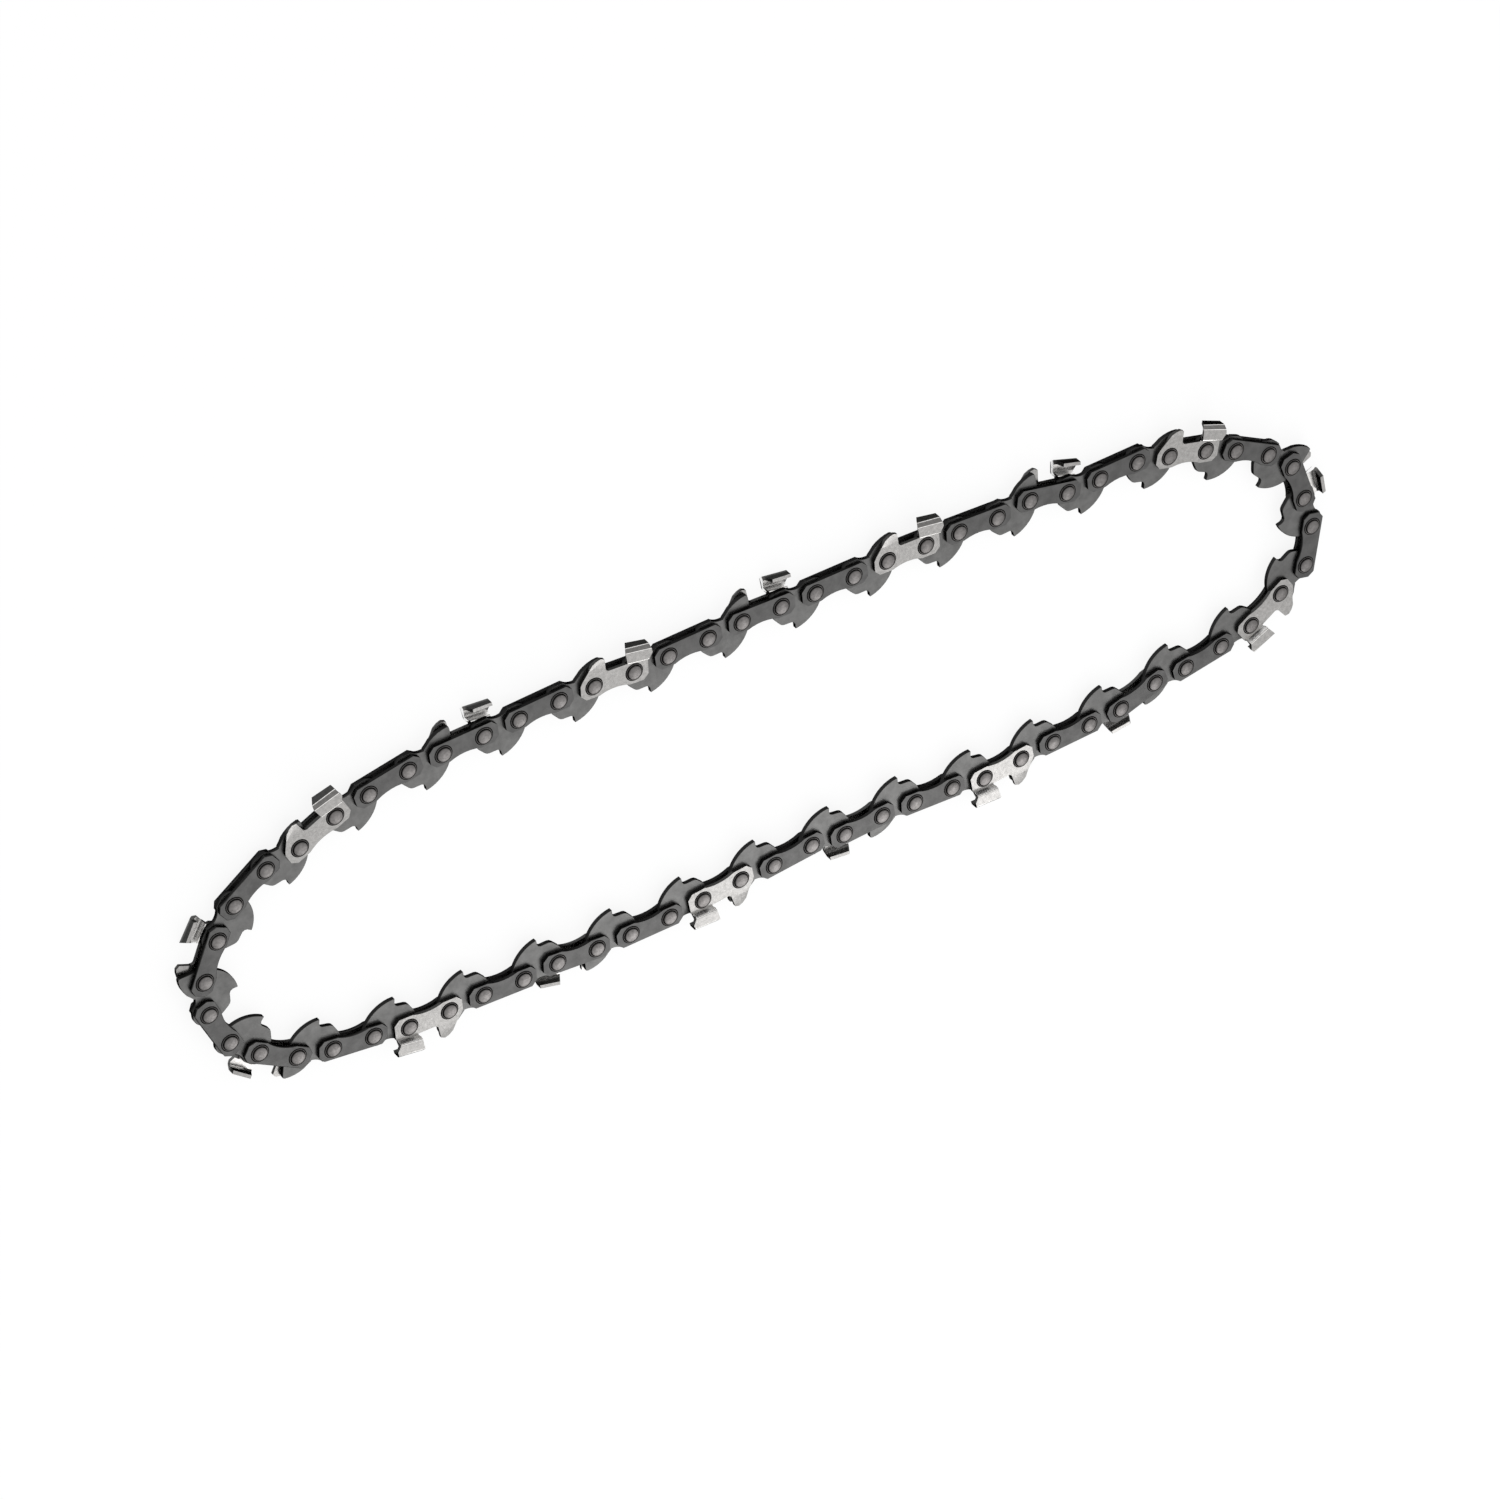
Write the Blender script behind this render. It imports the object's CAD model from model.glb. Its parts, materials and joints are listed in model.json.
"""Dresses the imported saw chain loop: steel finishes, rounded edges, spun rivet heads and a studio."""

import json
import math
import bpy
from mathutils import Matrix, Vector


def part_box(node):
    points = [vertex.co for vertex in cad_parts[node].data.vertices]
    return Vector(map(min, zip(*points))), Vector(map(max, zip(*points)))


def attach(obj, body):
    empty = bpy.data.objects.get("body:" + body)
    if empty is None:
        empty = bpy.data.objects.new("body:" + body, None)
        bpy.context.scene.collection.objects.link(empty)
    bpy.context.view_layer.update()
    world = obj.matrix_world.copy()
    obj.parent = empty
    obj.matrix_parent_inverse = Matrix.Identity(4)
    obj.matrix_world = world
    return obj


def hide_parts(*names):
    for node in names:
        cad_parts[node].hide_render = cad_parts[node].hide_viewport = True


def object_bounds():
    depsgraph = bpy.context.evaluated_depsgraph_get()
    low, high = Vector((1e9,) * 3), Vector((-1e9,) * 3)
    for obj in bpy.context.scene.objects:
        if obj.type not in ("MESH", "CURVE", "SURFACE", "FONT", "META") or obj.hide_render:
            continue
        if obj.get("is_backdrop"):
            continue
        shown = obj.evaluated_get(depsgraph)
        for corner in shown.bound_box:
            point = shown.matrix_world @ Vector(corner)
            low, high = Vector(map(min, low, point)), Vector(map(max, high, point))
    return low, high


bl_info = {
    "name": "Saw chain loop",
    "version": (1, 0, 0),
    "blender": (4, 5, 0),
    "location": "View3D > Sidebar > Saw chain",
    "description": "Finishes the links, cutters and rivets of a saw chain loop and lights it",
    "category": "Object",
}

import bpy
import numpy as np
from mathutils import Matrix, Vector

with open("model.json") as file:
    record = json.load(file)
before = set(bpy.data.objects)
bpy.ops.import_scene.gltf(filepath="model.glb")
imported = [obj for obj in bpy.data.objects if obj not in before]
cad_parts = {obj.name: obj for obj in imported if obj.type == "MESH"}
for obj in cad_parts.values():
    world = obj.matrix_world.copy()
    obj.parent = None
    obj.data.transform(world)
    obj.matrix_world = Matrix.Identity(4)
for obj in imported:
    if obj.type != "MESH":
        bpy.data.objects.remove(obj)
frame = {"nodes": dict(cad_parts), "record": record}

MM = 0.001


class SawChainEdges(bpy.types.PropertyGroup):
    """How far tumbling has rounded the stamped edges."""

    cutter: bpy.props.FloatProperty(
        name="Cutter edge", description="Width of the rounded edge on a cutter",
        default=0.11 * MM, min=0.05 * MM, max=0.3 * MM, precision=5, unit="LENGTH")
    strap: bpy.props.FloatProperty(
        name="Strap edge", description="Width of the rounded edge on a tie strap",
        default=0.12 * MM, min=0.05 * MM, max=0.3 * MM, precision=5, unit="LENGTH")
    drive: bpy.props.FloatProperty(
        name="Drive link edge", description="Width of the rounded edge on a drive link",
        default=0.12 * MM, min=0.05 * MM, max=0.3 * MM, precision=5, unit="LENGTH")


class SawChainRivet(bpy.types.PropertyGroup):
    """Shape of a spun rivet head."""

    button: bpy.props.FloatProperty(
        name="Button", description="Diameter of the domed button",
        default=3.3 * MM, min=2.5 * MM, max=3.6 * MM, precision=5, unit="LENGTH")
    foot: bpy.props.FloatProperty(
        name="Foot", description="Diameter of the head where it meets the plate",
        default=4.4 * MM, min=3.8 * MM, max=4.6 * MM, precision=5, unit="LENGTH")
    hub: bpy.props.FloatProperty(
        name="Hub", description="Diameter of the hub in the outer plates",
        default=3 * MM, min=2.6 * MM, max=3.2 * MM, precision=5, unit="LENGTH")
    plate: bpy.props.FloatProperty(
        name="Plate", description="Height of the outer plate's face over the chain's middle plane",
        default=1.45 * MM, min=1.2 * MM, max=1.8 * MM, precision=5, unit="LENGTH")
    groove: bpy.props.FloatProperty(
        name="Groove", description="Depth of the groove round the button",
        default=0.13 * MM, min=0, max=0.2 * MM, precision=5, unit="LENGTH")
    crown: bpy.props.FloatProperty(
        name="Crown", description="How far the button falls from its middle to its edge",
        default=0.12 * MM, min=0, max=0.3 * MM, precision=5, unit="LENGTH")
    edge: bpy.props.FloatProperty(
        name="Rolled edge", description="Radius of the button's edge",
        default=0.2 * MM, min=0.05 * MM, max=0.3 * MM, precision=5, unit="LENGTH")
    ripple: bpy.props.FloatProperty(
        name="Ripple", description="Depth of the rings left by the spinning tool",
        default=0.006 * MM, min=0, max=0.02 * MM, precision=6, unit="LENGTH")


class SawChainFinish(bpy.types.PropertyGroup):
    """Colours of the steels."""

    chrome: bpy.props.FloatVectorProperty(
        name="Chrome", description="Plated faces of the cutters",
        default=(0.37, 0.362, 0.353), min=0, max=1, size=3, subtype="COLOR")
    top_plate: bpy.props.FloatVectorProperty(
        name="Top plate", description="Ground and plated faces that stand across the chain",
        default=(0.065, 0.065, 0.064), min=0, max=1, size=3, subtype="COLOR")
    bright: bpy.props.FloatVectorProperty(
        name="Bright edge", description="Rounded edges of the cutters, rubbed bright",
        default=(0.17, 0.17, 0.168), min=0, max=1, size=3, subtype="COLOR")
    strap: bpy.props.FloatVectorProperty(
        name="Tie strap", description="Satin faces of the tie straps",
        default=(0.104, 0.103, 0.102), min=0, max=1, size=3, subtype="COLOR")
    drive: bpy.props.FloatVectorProperty(
        name="Drive link", description="Satin faces of the drive links",
        default=(0.138, 0.137, 0.135), min=0, max=1, size=3, subtype="COLOR")
    sheared: bpy.props.FloatVectorProperty(
        name="Sheared edge", description="Dark thickness of the stamped plates",
        default=(0.026, 0.026, 0.026), min=0, max=1, size=3, subtype="COLOR")
    dull: bpy.props.FloatVectorProperty(
        name="Dull edge", description="Rounded edges of the straps and the drive links",
        default=(0.04, 0.04, 0.039), min=0, max=1, size=3, subtype="COLOR")
    rivet: bpy.props.FloatVectorProperty(
        name="Rivet button", description="Spun button and collar of a rivet's head",
        default=(0.172, 0.164, 0.161), min=0, max=1, size=3, subtype="COLOR")
    rivet_ring: bpy.props.FloatVectorProperty(
        name="Rivet ring", description="Dark rings round the button and the collar",
        default=(0.009, 0.0087, 0.0086), min=0, max=1, size=3, subtype="COLOR")


class SawChainStudio(bpy.types.PropertyGroup):
    """Camera, floor and lamp."""

    focal_pixels: bpy.props.FloatProperty(
        name="Focal length", description="Focal length in pixels of the 1500 pixel image",
        default=6701.03, min=3000, max=12000, subtype="PIXEL")
    eye: bpy.props.FloatVectorProperty(
        name="Camera place", description="Where the camera stands",
        default=(-0.554665, 0.865971, 1.052135), size=3, precision=6, subtype="TRANSLATION")
    floor: bpy.props.FloatVectorProperty(
        name="Floor", description="Colour of the floor",
        default=(0.98, 0.98, 0.98), min=0, max=1, size=3, subtype="COLOR")
    lamp_place: bpy.props.FloatVectorProperty(
        name="Lamp place", description="Where the lamp stands; it shines at the chain's middle",
        default=(0.146, -0.405, 0.207), size=3, precision=3, subtype="TRANSLATION")
    lamp_size: bpy.props.FloatProperty(
        name="Lamp size", description="Side of the square lamp",
        default=0.3, min=0.05, max=2, precision=3, unit="LENGTH")
    lamp_power: bpy.props.FloatProperty(
        name="Lamp power", description="Power of the lamp",
        default=0.66, min=0, max=10, precision=3, unit="POWER")


# Lean of a chromed face, from 0 for upright to 1 for flat, and its brightness as a share of the chrome's
BEND_BANDS = (
    (0.1, 0.12), (0.2, 0.3),
    (0.27, 2.7), (0.43, 2.7),
    (0.45, 0.15), (0.49, 0.15),
    (0.51, 2.7), (0.56, 2.7),
    (0.62, 0.45), (0.78, 0.45),
    (0.84, 2.6), (0.93, 2.6),
    (0.965, 0.75), (0.99, 1.0),
)

# Insides of the lower cutters' hooks, which the bright floor lights from all round: the heights between
# which the chrome's gain falls, and the gain under the first and over the second
HOOK_INSIDE = (1.2 * MM, 1.7 * MM, 2.3, 1.0)

# Distance from a rivet's axis as a share of its head's radius, and the share of the button's colour
HEAD_BANDS = (
    (0.0, 1.3), (0.3, 1.1), (0.6, 0.9), (0.7, 0.7),
    (0.745, 0.0), (0.82, 0.0),
    (0.84, 0.6), (0.88, 0.6),
    (0.9, 0.0), (1.0, 0.0),
)

# Bright and dark clouds: how many per metre, and how far they go to each side of the colour
CHROME_CLOUDS = (1500, 0.17)
PLATE_CLOUDS = (420, 0.16)
EDGE_CLOUDS = (900, 0.12)
RIVET_CLOUDS = (1600, 0.22)

# Grain of the steels: how far its roughness goes to each side, and the strength of its bumps
ROUGH_SPREAD = 0.06
BUMP_STRENGTH = 0.15

# How much of the light a flat face gives back when it is seen from the side
GLANCING_SHARE = 0.4

# Live modifiers: corners nearer than this become one, faces that meet flatter than this become one, and
# edges sharper than this are rounded
WELD_GAP = 0.002 * MM
FLAT_ANGLE = math.radians(1.0)
SHARP_ANGLE = math.radians(35.0)

# Points of a rivet: round its axis, over its button, over the button's rolled edge and down its cone
AROUND = 32
OVER_BUTTON = 9
OVER_EDGE = 5
DOWN_CONE = 11

# How many ripples the spinning tool leaves, and how far out the groove goes as a share of the cone
RIPPLES = 3
GROOVE_REACH = 0.45

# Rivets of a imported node: depth from the top within which a dome shows, and a reach that holds one head
DOME_DEPTH = 0.1 * MM
HEAD_REACH = 4 * MM

# Camera: width of the photograph in pixels, and the picture's right and up
IMAGE_WIDTH = 1500
VIEW_RIGHT = (0.84889, -0.09285, 0.52035)
VIEW_UP = (0.37372, 0.80161, -0.46663)

# Floor: half its side, its gap under the chain, and the share of plain white that the eye sees in it
FLOOR_HALF = 3.0
FLOOR_GAP = 0.02 * MM
FLOOR_WHITE = 0.88

# A Mix node for colours: its inputs for the factor and the two colours, and its output
MIX_INPUTS = (0, 6, 7)
MIX_OUTPUT = 2


def feed(tree, socket, value):
    """Gives a socket what another socket gives, or a plain number or colour."""
    if isinstance(value, bpy.types.NodeSocket):
        tree.links.new(value, socket)
    elif socket.type == "RGBA":
        socket.default_value = (*value, 1)
    else:
        socket.default_value = value


def reckoned(tree, operation, first, second=0.0):
    """Result of a Math node; one that works on a single value leaves out the second."""
    node = tree.nodes.new("ShaderNodeMath")
    node.operation = operation
    feed(tree, node.inputs[0], first)
    feed(tree, node.inputs[1], second)
    return node.outputs[0]


def mixed(tree, factor, first, second, blend="MIX"):
    """A colour made of two."""
    node = tree.nodes.new("ShaderNodeMix")
    node.data_type = "RGBA"
    node.blend_type = blend
    for number, value in zip(MIX_INPUTS, (factor, first, second)):
        feed(tree, node.inputs[number], value)
    return node.outputs[MIX_OUTPUT]


def brightened(tree, colour, brightness):
    """A colour times a brightness, which may be over 1."""
    return mixed(tree, 1.0, colour, brightness, "MULTIPLY")


def spread(tree, value, low, high, to_low=0.0, to_high=1.0):
    """Takes low..high to to_low..to_high, clamped."""
    node = tree.nodes.new("ShaderNodeMapRange")
    for name, number in (("From Min", low), ("From Max", high), ("To Min", to_low), ("To Max", to_high)):
        node.inputs[name].default_value = number
    tree.links.new(value, node.inputs["Value"])
    return node.outputs[0]


def upward_part(tree, vector):
    """The Z of a vector."""
    node = tree.nodes.new("ShaderNodeSeparateXYZ")
    tree.links.new(vector, node.inputs[0])
    return node.outputs["Z"]


def place_on_piece(tree):
    """Object coordinates, which stay with the piece as it moves."""
    return tree.nodes.new("ShaderNodeTexCoord").outputs["Object"]


def noise(tree, scale, detail, roughness):
    """Noise on the piece, so many features per metre."""
    node = tree.nodes.new("ShaderNodeTexNoise")
    for name, number in (("Scale", scale), ("Detail", detail), ("Roughness", roughness)):
        node.inputs[name].default_value = number
    tree.links.new(place_on_piece(tree), node.inputs["Vector"])
    return node.outputs["Fac"]


def clouds(tree, scale, patch):
    """Brightness in broken clouds on the piece, from 1 - patch to 1 + patch."""
    broken = noise(tree, scale, detail=6.0, roughness=0.62)
    return spread(tree, broken, low=0.32, high=0.68, to_low=1 - patch, to_high=1 + patch)


def soft_clouds(tree, scale, patch):
    """Brightness in softer clouds on the piece, from 1 - patch to 1 + patch."""
    soft = noise(tree, scale, detail=4.0, roughness=0.5)
    return spread(tree, soft, low=0.35, high=0.65, to_low=1 - patch, to_high=1 + patch)


def lean(tree, low=0.2, high=0.6):
    """0 on the thickness of a plate and 1 on faces that look up or down."""
    normal = tree.nodes.new("ShaderNodeNewGeometry").outputs["Normal"]
    return spread(tree, reckoned(tree, "ABSOLUTE", upward_part(tree, normal)), low, high)


def glancing(tree):
    """How bright a plate is when seen from the side: its flat faces a little, its thickness not at all."""
    return reckoned(tree, "MULTIPLY", lean(tree), GLANCING_SHARE)


def bands(tree, place, stops):
    """Colour read at a place from 0 to 1 along (place, colour) stops."""
    node = tree.nodes.new("ShaderNodeValToRGB")
    ramp = node.color_ramp.elements
    ramp.remove(ramp[1])
    for number, (position, colour) in enumerate(stops):
        stop = ramp.new(position) if number else ramp[0]
        stop.position = position
        stop.color = (*np.clip(colour, 0, 1), 1)
    tree.links.new(place, node.inputs["Fac"])
    return node.outputs["Color"]


def steel(name, colour_of, rough, tint_of=None, grain=9000, depth=0.004 * MM):
    """A steel: its colour from colour_of(tree), with fine grain in roughness and bump.

    tint_of(tree) is its tint where it is seen from the side; without one, that is the colour again.
    """
    material = bpy.data.materials.new(name)
    material.use_nodes = True
    tree = material.node_tree
    surface = tree.nodes["Principled BSDF"].inputs
    surface["Metallic"].default_value = 1.0
    colour = colour_of(tree)
    tree.links.new(colour, surface["Base Color"])
    tree.links.new(tint_of(tree) if tint_of else colour, surface["Specular Tint"])
    fine = noise(tree, grain, detail=4.0, roughness=0.6)
    roughness = spread(tree, fine, 0.3, 0.7, to_low=rough - ROUGH_SPREAD, to_high=rough + ROUGH_SPREAD)
    tree.links.new(roughness, surface["Roughness"])
    bump = tree.nodes.new("ShaderNodeBump")
    bump.inputs["Strength"].default_value = BUMP_STRENGTH
    bump.inputs["Distance"].default_value = depth
    tree.links.new(fine, bump.inputs["Height"])
    tree.links.new(bump.outputs[0], surface["Normal"])
    return material


def plated_bends(finish):
    """Chrome as a bright studio shows it: each stretch of a bend picks out another part of the room.

    The share of the chrome's colour is read from bands over the upward part of the surface's
    normal, from faces that stand across the chain (0) to those that lie flat (1).
    """
    chrome = np.array(finish.chrome)
    stops = [(0.0, finish.top_plate)] + [(place, chrome * share) for place, share in BEND_BANDS]

    def colour(tree):
        height = upward_part(tree, place_on_piece(tree))
        gain = spread(tree, height, *HOOK_INSIDE)
        brightness = reckoned(tree, "MULTIPLY", clouds(tree, *CHROME_CLOUDS), gain)
        return brightened(tree, bands(tree, lean(tree, 0.0, 1.0), stops), brightness)

    return colour


def satin_plate(face, sheared):
    """Clouded face and dark sheared thickness of a stamped plate."""

    def colour(tree):
        flat = brightened(tree, face, clouds(tree, *PLATE_CLOUDS))
        return mixed(tree, lean(tree), sheared, flat)

    return colour


def rubbed_edge(name, base, rough):
    """A steel for rounded edges: one colour with soft clouds."""

    def colour(tree):
        return brightened(tree, base, soft_clouds(tree, *EDGE_CLOUDS))

    return steel(name, colour, rough)


def rivet_steel(finish, sizes):
    """Dark steel, with the button and the collar round it rubbed bright.

    Bands of colour over the distance from the rivet's axis, as a share of the head's radius.
    """
    button = np.array(finish.rivet)
    ring = np.array(finish.rivet_ring)
    stops = [(place, button * share + ring * (1 - min(share, 1))) for place, share in HEAD_BANDS]

    def colour(tree):
        reach = tree.nodes.new("ShaderNodeAttribute")
        reach.attribute_name = "reach"
        outwards = spread(tree, reach.outputs["Fac"], 0.0, sizes.foot / 2)
        return brightened(tree, bands(tree, outwards, stops), clouds(tree, *RIVET_CLOUDS))

    return steel("rivet_steel", colour, rough=0.33, grain=14000, depth=0.006 * MM)


def nodes_with(word):
    """Names of the CAD nodes that hold a word."""
    found = sorted(name for name in frame["nodes"] if word in name)
    if not found:
        raise RuntimeError(f"no node of the frame has {word} in its name")
    return found


def round_edges(piece, width, edge):
    """Rounds a CAD piece's sharp edges with live modifiers; its points stay as packed, its normals go."""
    piece.data.materials.append(edge)
    packed_normals = piece.data.attributes.get("custom_normal")
    if packed_normals:
        piece.data.attributes.remove(packed_normals)
    piece.data.polygons.foreach_set("use_smooth", np.ones(len(piece.data.polygons), bool))
    weld = piece.modifiers.new("weld", "WELD")
    weld.merge_threshold = WELD_GAP
    flat = piece.modifiers.new("flat_faces", "DECIMATE")
    flat.decimate_type = "DISSOLVE"
    flat.angle_limit = FLAT_ANGLE
    rounded = piece.modifiers.new("rounded_edges", "BEVEL")
    rounded.width = width
    rounded.segments = 2
    rounded.limit_method = "ANGLE"
    rounded.angle_limit = SHARP_ANGLE
    rounded.material = len(piece.data.materials) - 1
    rounded.use_clamp_overlap = True
    smooth = piece.modifiers.new("smooth", "WEIGHTED_NORMAL")
    smooth.keep_sharp = True


def finish_nodes(word, face, edge, width):
    """Gives the CAD nodes whose names hold a word their steels and their rounded edges."""
    for name in nodes_with(word):
        piece = frame["nodes"][name]
        piece.data.materials.clear()
        piece.data.materials.append(face)
        round_edges(piece, width, edge)


class SAWCHAIN_OT_cutters(bpy.types.Operator):
    """Plates the cutters with satin chrome"""

    bl_idname = "sawchain.cutters"
    bl_label = "Finish cutters"

    def execute(self, context):
        finish = context.scene.saw_chain_finish
        chrome = steel(
            "cutter_chrome", plated_bends(finish), rough=0.25, tint_of=glancing, depth=0.002 * MM)
        edge = rubbed_edge("cutter_edge", finish.bright, rough=0.3)
        finish_nodes("cutter", chrome, edge, context.scene.saw_chain_edges.cutter)
        return {"FINISHED"}


class SAWCHAIN_OT_tie_straps(bpy.types.Operator):
    """Gives the tie straps their satin steel"""

    bl_idname = "sawchain.tie_straps"
    bl_label = "Finish tie straps"

    def execute(self, context):
        finish = context.scene.saw_chain_finish
        face = satin_plate(finish.strap, finish.sheared)
        plate = steel("strap_steel", face, rough=0.4, tint_of=glancing)
        edge = rubbed_edge("strap_edge", finish.dull, rough=0.4)
        finish_nodes("tie_strap", plate, edge, context.scene.saw_chain_edges.strap)
        return {"FINISHED"}


class SAWCHAIN_OT_drive_links(bpy.types.Operator):
    """Gives the drive links their satin steel"""

    bl_idname = "sawchain.drive_links"
    bl_label = "Finish drive links"

    def execute(self, context):
        finish = context.scene.saw_chain_finish
        face = satin_plate(finish.drive, finish.sheared)
        plate = steel("drive_steel", face, rough=0.35, tint_of=glancing)
        edge = rubbed_edge("drive_edge", finish.dull, rough=0.35)
        finish_nodes("drive_link", plate, edge, context.scene.saw_chain_edges.drive)
        return {"FINISHED"}


def spun_profile(low, high, sizes):
    """A rivet's outline as radius and height, from the middle of its foot to the middle of its top.

    Each head is a domed button in a dished ring. The button's height falls with the square of the
    radius, its edge is a quarter turn of a small circle, and ripples left by the spinning tool run
    round it as a raised cosine of the radius. A cone falls from the button to the plate, and a groove
    round the button's foot is hollowed out of it as the square of a sine.
    """
    plate = (low + high) / 2 + sizes.plate
    button = sizes.button / 2
    flat = button - sizes.edge
    share = np.linspace(0.0, 1.0, OVER_BUTTON)
    radius = share * flat
    ripple = sizes.ripple * (0.5 - 0.5 * np.cos(share * RIPPLES * 2 * math.pi))
    crown = high - sizes.crown * (radius / button) ** 2 - ripple
    turn = np.linspace(0.0, math.pi / 2, OVER_EDGE)[1:]
    rolled = np.stack((flat + sizes.edge * np.sin(turn), crown[-1] - sizes.edge * (1 - np.cos(turn))), 1)
    across = np.linspace(0.0, 1.0, DOWN_CONE)[1:]
    groove = sizes.groove * np.sin(math.pi * np.minimum(across / GROOVE_REACH, 1)) ** 2
    cone = np.stack((
        button + (sizes.foot / 2 - button) * across,
        plate + (rolled[-1, 1] - plate) * (1 - across) - groove), 1)
    head = np.concatenate((np.stack((radius, crown), 1), rolled, cone, [[sizes.hub / 2, plate]]))
    foot = head * [1, -1] + [0, low + high]
    return np.concatenate((foot, head[::-1]))


def spin(profile, centres):
    """Carries a profile round an upright axis at each centre: (x + r cos a, y + r sin a, z).

    Gives the points, the faces and each point's distance from its axis.
    """
    angle = np.linspace(0.0, 2 * math.pi, AROUND, endpoint=False)
    radius = profile[1:-1, :1]
    level = profile[1:-1, 1:]
    rings = np.stack((radius * np.cos(angle), radius * np.sin(angle), level + 0 * angle), -1)
    rivet = np.concatenate((
        [[0, 0, profile[0, 1]]], rings.reshape(-1, 3), [[0, 0, profile[-1, 1]]]))
    step = np.arange(AROUND)
    after = (step + 1) % AROUND
    row = 1 + AROUND * np.arange(len(radius) - 1)[:, None]
    sides = np.stack((row + step, row + after, row + AROUND + after, row + AROUND + step), -1)
    last = len(rivet) - 1
    foot = np.stack((0 * step, 1 + after, 1 + step), -1)
    top = np.stack((last + 0 * step, last - AROUND + step, last - AROUND + after), -1)
    shift = len(rivet) * np.arange(len(centres))[:, None, None]
    faces = []
    for block in (sides.reshape(-1, 4), foot, top):
        faces += (block + shift).reshape(-1, block.shape[1]).tolist()
    places = np.concatenate((centres, np.zeros((len(centres), 1))), 1)
    points = (rivet + places[:, None]).reshape(-1, 3)
    reach = np.concatenate(([0.0], np.repeat(radius[:, 0], AROUND), [0.0]))
    return points, faces, np.tile(reach, len(centres))


def rivet_centres(piece):
    """Axes of a rivet node's rivets: the middles of the separate groups of points on their domes."""
    points = np.empty(3 * len(piece.data.vertices))
    piece.data.vertices.foreach_get("co", points)
    points = points.reshape(-1, 3)
    left = points[points[:, 2] > points[:, 2].max() - DOME_DEPTH, :2]
    centres = []
    while len(left):
        near = np.linalg.norm(left - left[0], axis=1) < HEAD_REACH
        group = left[near]
        centres.append((group.min(0) + group.max(0)) / 2)
        left = left[~near]
    return np.array(centres)


def add_object(context, name, data):
    """Puts a new object in the open scene."""
    new = bpy.data.objects.new(name, data)
    context.collection.objects.link(new)
    return new


class SAWCHAIN_OT_rivets(bpy.types.Operator):
    """Turns the rivets with their spun heads"""

    bl_idname = "sawchain.rivets"
    bl_label = "Turn rivets"

    def execute(self, context):
        sizes = context.scene.saw_chain_rivet
        dark_and_bright = rivet_steel(context.scene.saw_chain_finish, sizes)
        bodies = frame["record"]["behaviour"]["bodies"]
        rides = {name: body for body, names in bodies.items() for name in names}
        for name in nodes_with("rivets"):
            low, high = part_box(name)
            profile = spun_profile(low[2], high[2], sizes)
            points, faces, reach = spin(profile, rivet_centres(frame["nodes"][name]))
            mesh = bpy.data.meshes.new(f"spun_{name}")
            mesh.from_pydata(points.tolist(), [], faces)
            mesh.attributes.new("reach", "FLOAT", "POINT").data.foreach_set("value", reach)
            mesh.polygons.foreach_set("use_smooth", np.ones(len(mesh.polygons), bool))
            mesh.materials.append(dark_and_bright)
            piece = add_object(context, f"spun_{name}", mesh)
            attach(piece, rides[name])
            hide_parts(name)
        return {"FINISHED"}


def add_camera(context, studio):
    """The photograph's camera: place, axes and focal length fitted to its rivets, shifted half a pixel."""
    data = bpy.data.cameras.new("camera")
    data.sensor_fit = "HORIZONTAL"
    data.sensor_width = 36.0
    data.lens = studio.focal_pixels * data.sensor_width / IMAGE_WIDTH
    data.shift_x = -0.5 / IMAGE_WIDTH
    data.shift_y = 0.5 / IMAGE_WIDTH
    data.clip_start = 0.05
    data.clip_end = 50.0
    right = Vector(VIEW_RIGHT).normalized()
    up = Vector(VIEW_UP)
    up = (up - up.dot(right) * right).normalized()
    turn = Matrix((right, up, right.cross(up))).transposed()
    camera = add_object(context, "camera", data)
    camera.matrix_world = Matrix.Translation(Vector(studio.eye)) @ turn.to_4x4()
    context.scene.camera = camera


def white_to_the_eye(tree, shaded, share=1.0):
    """Mixes plain white into what the camera, metal and glass see of a surface."""
    path = tree.nodes.new("ShaderNodeLightPath").outputs
    seen = reckoned(tree, "MAXIMUM", path["Is Camera Ray"], path["Is Glossy Ray"])
    seen = reckoned(tree, "MAXIMUM", seen, path["Is Transmission Ray"])
    white = tree.nodes.new("ShaderNodeEmission")
    white.inputs["Strength"].default_value = 1.0
    mix = tree.nodes.new("ShaderNodeMixShader")
    tree.links.new(reckoned(tree, "MULTIPLY", seen, share), mix.inputs[0])
    tree.links.new(shaded, mix.inputs[1])
    tree.links.new(white.outputs[0], mix.inputs[2])
    return mix.outputs[0]


def floor_paper(studio):
    """White paper without gloss, which keeps the chain's shadow."""
    material = bpy.data.materials.new("floor_paper")
    material.use_nodes = True
    tree = material.node_tree
    surface = tree.nodes["Principled BSDF"]
    surface.inputs["Base Color"].default_value = (*studio.floor, 1)
    surface.inputs["Roughness"].default_value = 0.9
    surface.inputs["Specular IOR Level"].default_value = 0.0
    seen = white_to_the_eye(tree, surface.outputs[0], FLOOR_WHITE)
    tree.links.new(seen, tree.nodes["Material Output"].inputs["Surface"])
    return material


def add_floor(context, studio):
    """A wide plain floor just under the chain."""
    low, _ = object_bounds()
    level = low[2] - FLOOR_GAP
    corners = [(x * FLOOR_HALF, y * FLOOR_HALF, level) for x, y in ((-1, -1), (1, -1), (1, 1), (-1, 1))]
    mesh = bpy.data.meshes.new("floor")
    mesh.from_pydata(corners, [], [(0, 1, 2, 3)])
    mesh.materials.append(floor_paper(studio))
    add_object(context, "floor", mesh)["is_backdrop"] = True


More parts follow.
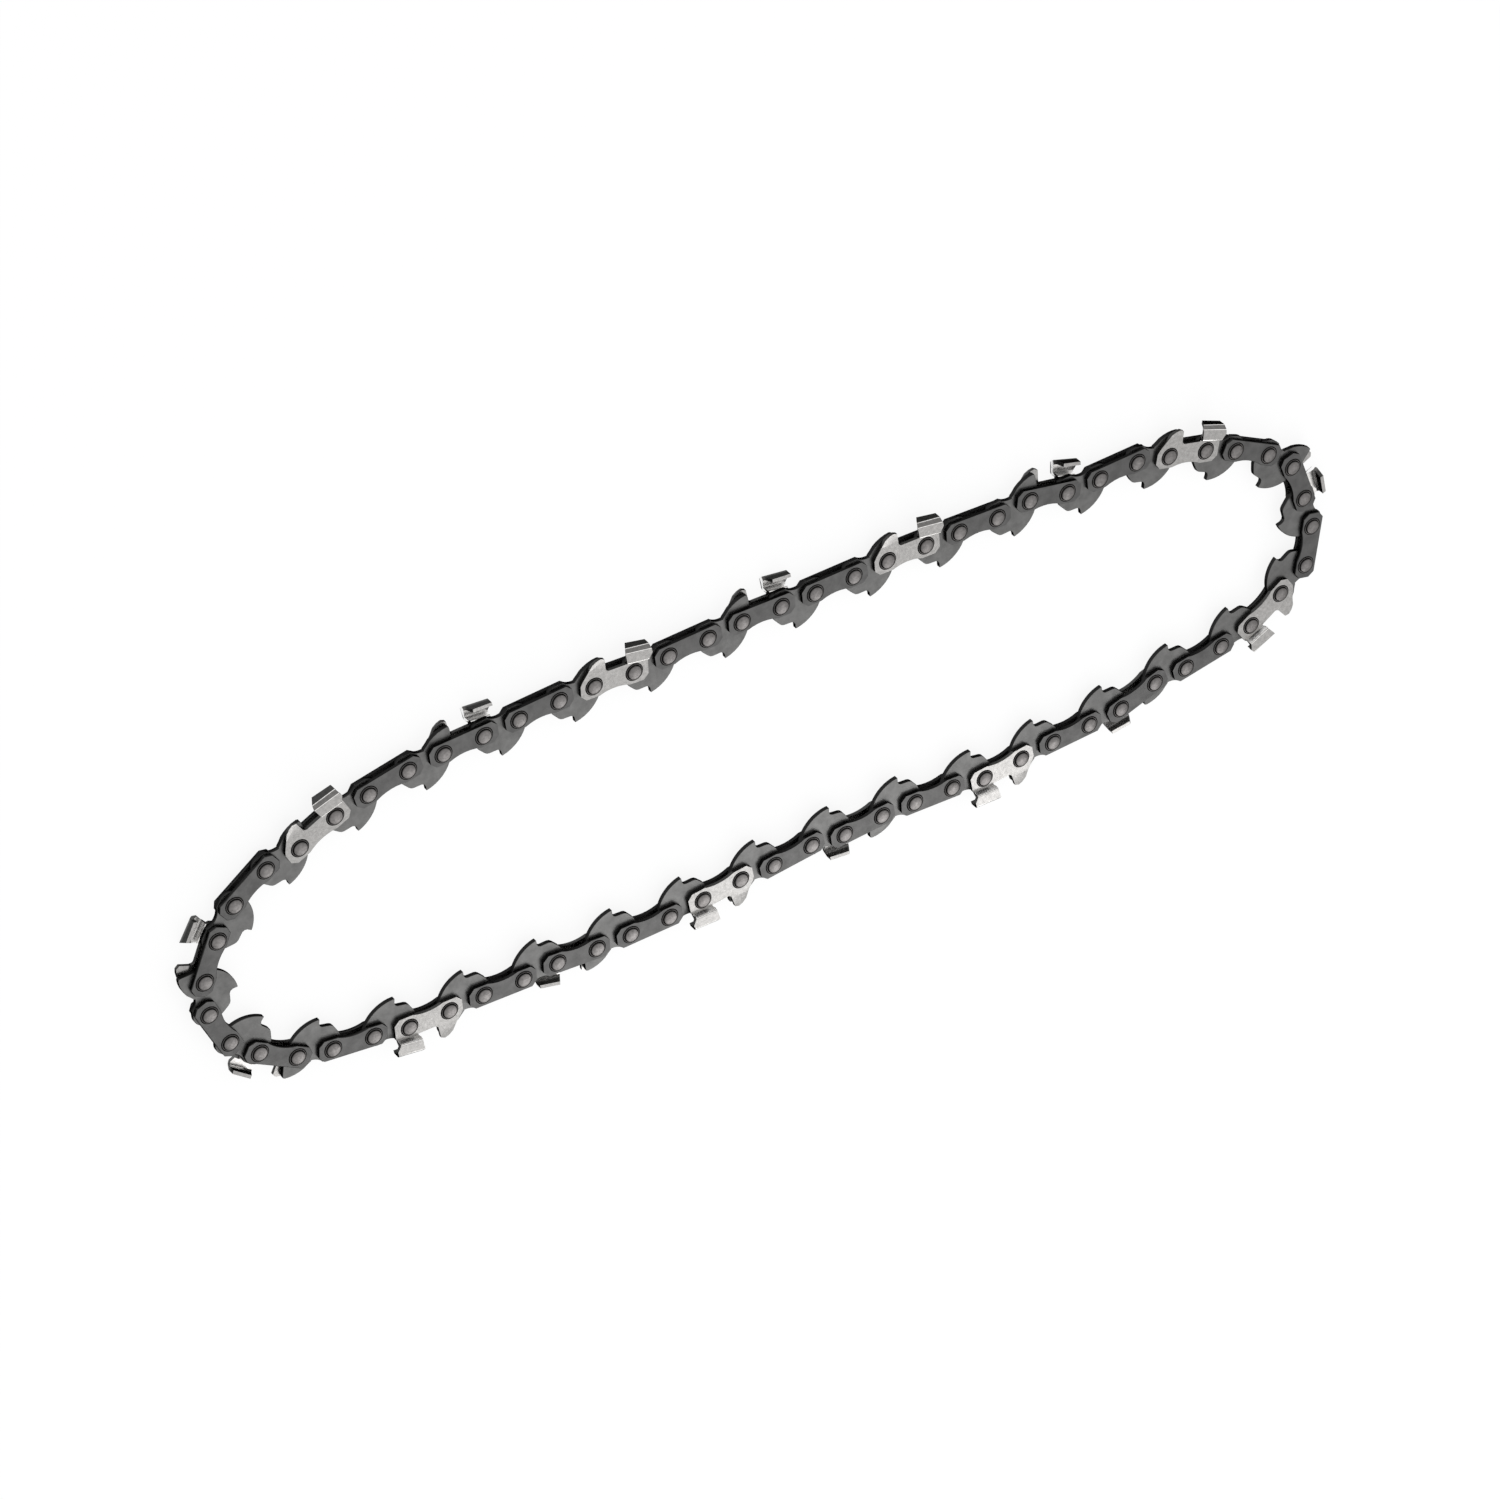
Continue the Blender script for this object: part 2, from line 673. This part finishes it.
def add_lamp(context, studio):
    """A square soft lamp behind the chain, as the camera sees it, aimed at the chain's middle."""
    data = bpy.data.lights.new("lamp_behind", "AREA")
    data.shape = "SQUARE"
    data.size = studio.lamp_size
    data.energy = studio.lamp_power
    place = Vector(studio.lamp_place)
    turn = place.to_track_quat("Z", "Y").to_matrix().to_4x4()
    add_object(context, "lamp_behind", data).matrix_world = Matrix.Translation(place) @ turn


def set_world(context):
    """A plain white world, which lights the chain evenly from all round."""
    world = bpy.data.worlds.new("studio")
    world.use_nodes = True
    tree = world.node_tree
    plain = tree.nodes["Background"]
    plain.inputs["Color"].default_value = (1, 1, 1, 1)
    plain.inputs["Strength"].default_value = 1.0
    tree.links.new(white_to_the_eye(tree, plain.outputs[0]), tree.nodes["World Output"].inputs["Surface"])
    context.scene.world = world


class SAWCHAIN_OT_stage(bpy.types.Operator):
    """Sets up the camera, the floor and the studio light"""

    bl_idname = "sawchain.stage"
    bl_label = "Set the stage"

    def execute(self, context):
        studio = context.scene.saw_chain_studio
        add_camera(context, studio)
        add_floor(context, studio)
        set_world(context)
        add_lamp(context, studio)
        context.scene.view_settings.view_transform = "Standard"
        return {"FINISHED"}


GROUPS = {
    SawChainEdges: "saw_chain_edges",
    SawChainRivet: "saw_chain_rivet",
    SawChainFinish: "saw_chain_finish",
    SawChainStudio: "saw_chain_studio",
}

OPERATORS = (
    SAWCHAIN_OT_stage, SAWCHAIN_OT_cutters, SAWCHAIN_OT_tie_straps, SAWCHAIN_OT_drive_links,
    SAWCHAIN_OT_rivets,
)


class SAWCHAIN_PT_panel(bpy.types.Panel):
    """Lists the steps and their settings"""

    bl_idname = "SAWCHAIN_PT_panel"
    bl_label = "Saw chain"
    bl_space_type = "VIEW_3D"
    bl_region_type = "UI"
    bl_category = "Saw chain"

    def draw(self, context):
        for group, setting in GROUPS.items():
            box = self.layout.box()
            for name in group.__annotations__:
                box.prop(getattr(context.scene, setting), name)
        for operator in OPERATORS:
            self.layout.operator(operator.bl_idname)


def register():
    for kind in (*GROUPS, *OPERATORS, SAWCHAIN_PT_panel):
        bpy.utils.register_class(kind)
    for group, setting in GROUPS.items():
        setattr(bpy.types.Scene, setting, bpy.props.PointerProperty(type=group))


def unregister():
    for setting in GROUPS.values():
        delattr(bpy.types.Scene, setting)
    for kind in (SAWCHAIN_PT_panel, *reversed(OPERATORS), *GROUPS):
        bpy.utils.unregister_class(kind)


def main():
    """Runs every step in order."""
    register()
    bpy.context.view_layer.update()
    bpy.ops.sawchain.stage()
    bpy.ops.sawchain.cutters()
    bpy.ops.sawchain.tie_straps()
    bpy.ops.sawchain.drive_links()
    bpy.ops.sawchain.rivets()


if __name__ == "__main__":
    main()
